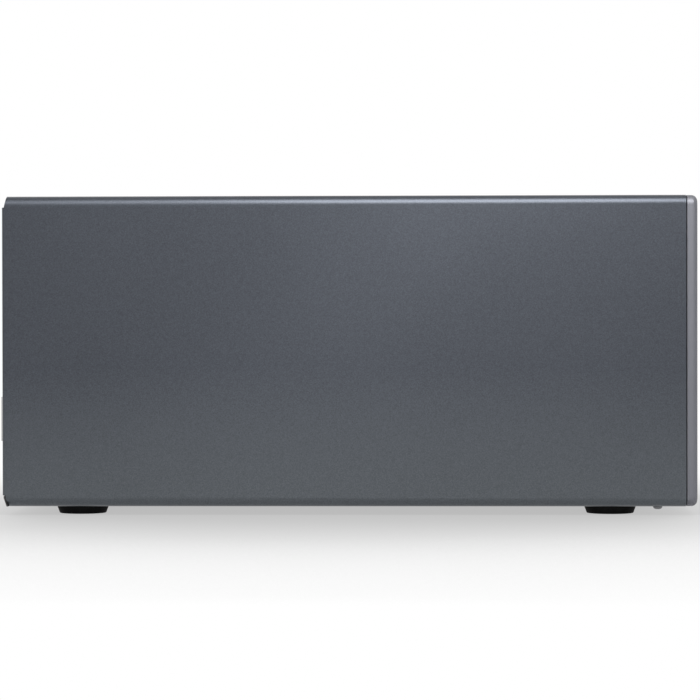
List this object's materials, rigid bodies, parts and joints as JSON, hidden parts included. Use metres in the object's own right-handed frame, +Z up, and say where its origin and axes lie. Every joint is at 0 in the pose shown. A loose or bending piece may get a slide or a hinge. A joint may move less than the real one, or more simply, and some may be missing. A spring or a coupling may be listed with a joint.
{
  "type": "data tape drive",
  "caption": "Desktop tape drive: a sheet-metal box on rubber feet, thick rounded front plate, half-height drive with cartridge slot, ports and fan at the back.",
  "frame": {"origin": "on the floor, under the middle of the box", "axes": "+Z up; the front face looks along -Y; +X is to the right as seen from the front"},
  "size_m": [0.172, 0.336, 0.1524],
  "materials": {
    "cover_paint": "metallic grey paint with a fine grain",
    "bezel_metal": "bead-blasted and anodised, light grey",
    "black_sheet": "black powder coat on sheet steel",
    "zinc_sheet": "galvanised sheet steel",
    "face_plastic": "moulded black plastic, fine spark texture",
    "lens_clear": "translucent light pipe",
    "display_dark": "smoked window",
    "foot_rubber": "moulded black rubber",
    "screw_steel": "nickel-plated steel",
    "black_plastic": "glass-filled plastic",
    "foam": "open-cell filter foam",
    "circuit": "solder-masked circuit board",
    "chip_black": "moulded electronic parts",
    "bare_aluminium": "machined or cast, uncoated",
    "polished_steel": "ground steel",
    "gear_plastic": "acetal",
    "reel_plastic": "glass-filled plastic",
    "head_ceramic": "lapped ceramic",
    "motor_steel": "drawn steel can",
    "lead_grey": "flat lead insulation"
  },
  "bodies": {
    "enclosure": {"bay_blank": "face_plastic", "board_parts": "chip_black", "board_tray": "zinc_sheet", "bus_ports": "zinc_sheet", "chassis": "black_sheet", "cover_screws": "screw_steel", "data_ribbon": "lead_grey", "display_window": "display_dark", "drive_bezel": "face_plastic", "drive_board": "circuit", "drive_cage": "zinc_sheet", "drive_connectors": "chip_black", "drive_frame": "bare_aluminium", "drive_lid": "zinc_sheet", "drive_screws": "screw_steel", "dust_filter": "foam", "fan_frame": "black_plastic", "fan_grille": "black_sheet", "fan_screws": "screw_steel", "foot_screws": "screw_steel", "front_bezel": "bezel_metal", "head_frame": "bare_aluminium", "heat_sink": "bare_aluminium", "indicator_lenses": "lens_clear", "inlet_pins": "polished_steel", "interface_board": "circuit", "loader_motor": "motor_steel", "mains_inlet": "black_plastic", "outer_cover": "cover_paint", "port_cage": "zinc_sheet", "port_tongues": "circuit", "power_supply": "zinc_sheet", "reel_motors": "bare_aluminium", "roller_posts": "polished_steel", "rubber_feet": "foot_rubber", "supply_internals": "circuit", "switch_frame": "black_plastic", "threader_motor": "motor_steel", "threader_pivot": "polished_steel"},
    "fan_rotor": {"fan_rotor": "black_plastic"},
    "rocker": {"power_rocker": "black_plastic"},
    "door": {"slot_door": "face_plastic"},
    "eject_key": {"eject_button": "face_plastic"},
    "sled": {"loader_sled": "zinc_sheet"},
    "tray": {"cartridge_tray": "zinc_sheet"},
    "pinion": {"loader_pinion": "gear_plastic"},
    "chuck": {"supply_chuck": "reel_plastic"},
    "reel": {"takeup_reel": "reel_plastic"},
    "roller_1": {"guide_roller_1": "polished_steel"},
    "roller_2": {"guide_roller_2": "polished_steel"},
    "roller_3": {"guide_roller_3": "polished_steel"},
    "roller_4": {"guide_roller_4": "polished_steel"},
    "head": {"head_sled": "bare_aluminium", "tape_head": "head_ceramic"},
    "lead_screw": {"head_screw": "polished_steel"},
    "arm": {"threading_arm": "gear_plastic"},
    "leader": {"leader_block": "gear_plastic"},
    "arm_pinion": {"threader_pinion": "gear_plastic"}
  },
  "joints": [
    {"name": "fan_spin", "type": "hinge", "parent": "enclosure", "child": "fan_rotor", "pos_m": [0.028, 0.142, 0.098], "axis": [0, 1, 0], "continuous": true},
    {"name": "rocker_tilt", "type": "hinge", "parent": "enclosure", "child": "rocker", "pos_m": [0.0465, 0.1585, 0.027], "axis": [-1, 0, 0], "range_deg": [0, 14]},
    {"name": "door_swing", "type": "hinge", "parent": "enclosure", "child": "door", "pos_m": [0, -0.164, 0.137], "axis": [1, 0, 0], "range_deg": [0, 80], "stiffness_Nm_per_rad": 0.002, "springref_deg": -20.05},
    {"name": "eject_press", "type": "slide", "parent": "enclosure", "child": "eject_key", "axis": [0, 1, 0], "range_m": [0, 0.0012], "stiffness_N_per_m": 400, "springref_m": -0.0005},
    {"name": "sled_travel", "type": "slide", "parent": "enclosure", "child": "sled", "axis": [0, 1, 0], "range_m": [0, 0.023]},
    {"name": "tray_drop", "type": "slide", "parent": "sled", "child": "tray", "axis": [0, 0, -1], "range_m": [0, 0.0034]},
    {"name": "pinion_turn", "type": "hinge", "parent": "enclosure", "child": "pinion", "pos_m": [0.06375, -0.108, 0.108], "axis": [0, 0, 1], "range_deg": [-340, 340]},
    {"name": "chuck_spin", "type": "hinge", "parent": "enclosure", "child": "chuck", "pos_m": [0, -0.109, 0.108], "axis": [0, 0, 1], "continuous": true},
    {"name": "reel_spin", "type": "hinge", "parent": "enclosure", "child": "reel", "pos_m": [0.0245, -0.008, 0.12], "axis": [0, 0, 1], "continuous": true},
    {"name": "roller_1_spin", "type": "hinge", "parent": "enclosure", "child": "roller_1", "pos_m": [-0.04118, -0.0256, 0.12], "axis": [0, 0, 1], "continuous": true},
    {"name": "roller_2_spin", "type": "hinge", "parent": "enclosure", "child": "roller_2", "pos_m": [-0.05184, -0.01805, 0.12], "axis": [0, 0, 1], "continuous": true},
    {"name": "roller_3_spin", "type": "hinge", "parent": "enclosure", "child": "roller_3", "pos_m": [-0.05184, 0.00205, 0.12], "axis": [0, 0, 1], "continuous": true},
    {"name": "roller_4_spin", "type": "hinge", "parent": "enclosure", "child": "roller_4", "pos_m": [-0.04118, 0.0096, 0.12], "axis": [0, 0, 1], "continuous": true},
    {"name": "head_lift", "type": "slide", "parent": "enclosure", "child": "head", "axis": [0, 0, 1], "range_m": [-0.0022, 0.0022]},
    {"name": "lead_screw_turn", "type": "hinge", "parent": "enclosure", "child": "lead_screw", "pos_m": [-0.0322, -0.008, 0.118], "axis": [0, 0, 1], "range_deg": [-540, 540]},
    {"name": "arm_sweep", "type": "hinge", "parent": "enclosure", "child": "arm", "pos_m": [0.0245, -0.008, 0.132], "axis": [0, 0, -1], "range_deg": [0, 52]},
    {"name": "leader_travel", "type": "slide", "parent": "arm", "child": "leader", "axis": [0.8988, 0.4384, 0], "range_m": [0, 0.04]},
    {"name": "arm_pinion_turn", "type": "hinge", "parent": "enclosure", "child": "arm_pinion", "pos_m": [0.01132, 0.01215, 0.132], "axis": [0, 0, 1], "range_deg": [-10, 270]}
  ],
  "couplings": [
    {"joint": "tray_drop", "follows": "sled_travel", "ratio": 0.14783},
    {"joint": "pinion_turn", "follows": "sled_travel", "rad_per_m": -250},
    {"joint": "lead_screw_turn", "follows": "head_lift", "rad_per_m": 4188.8},
    {"joint": "arm_pinion_turn", "follows": "arm_sweep", "ratio": 5}
  ]
}
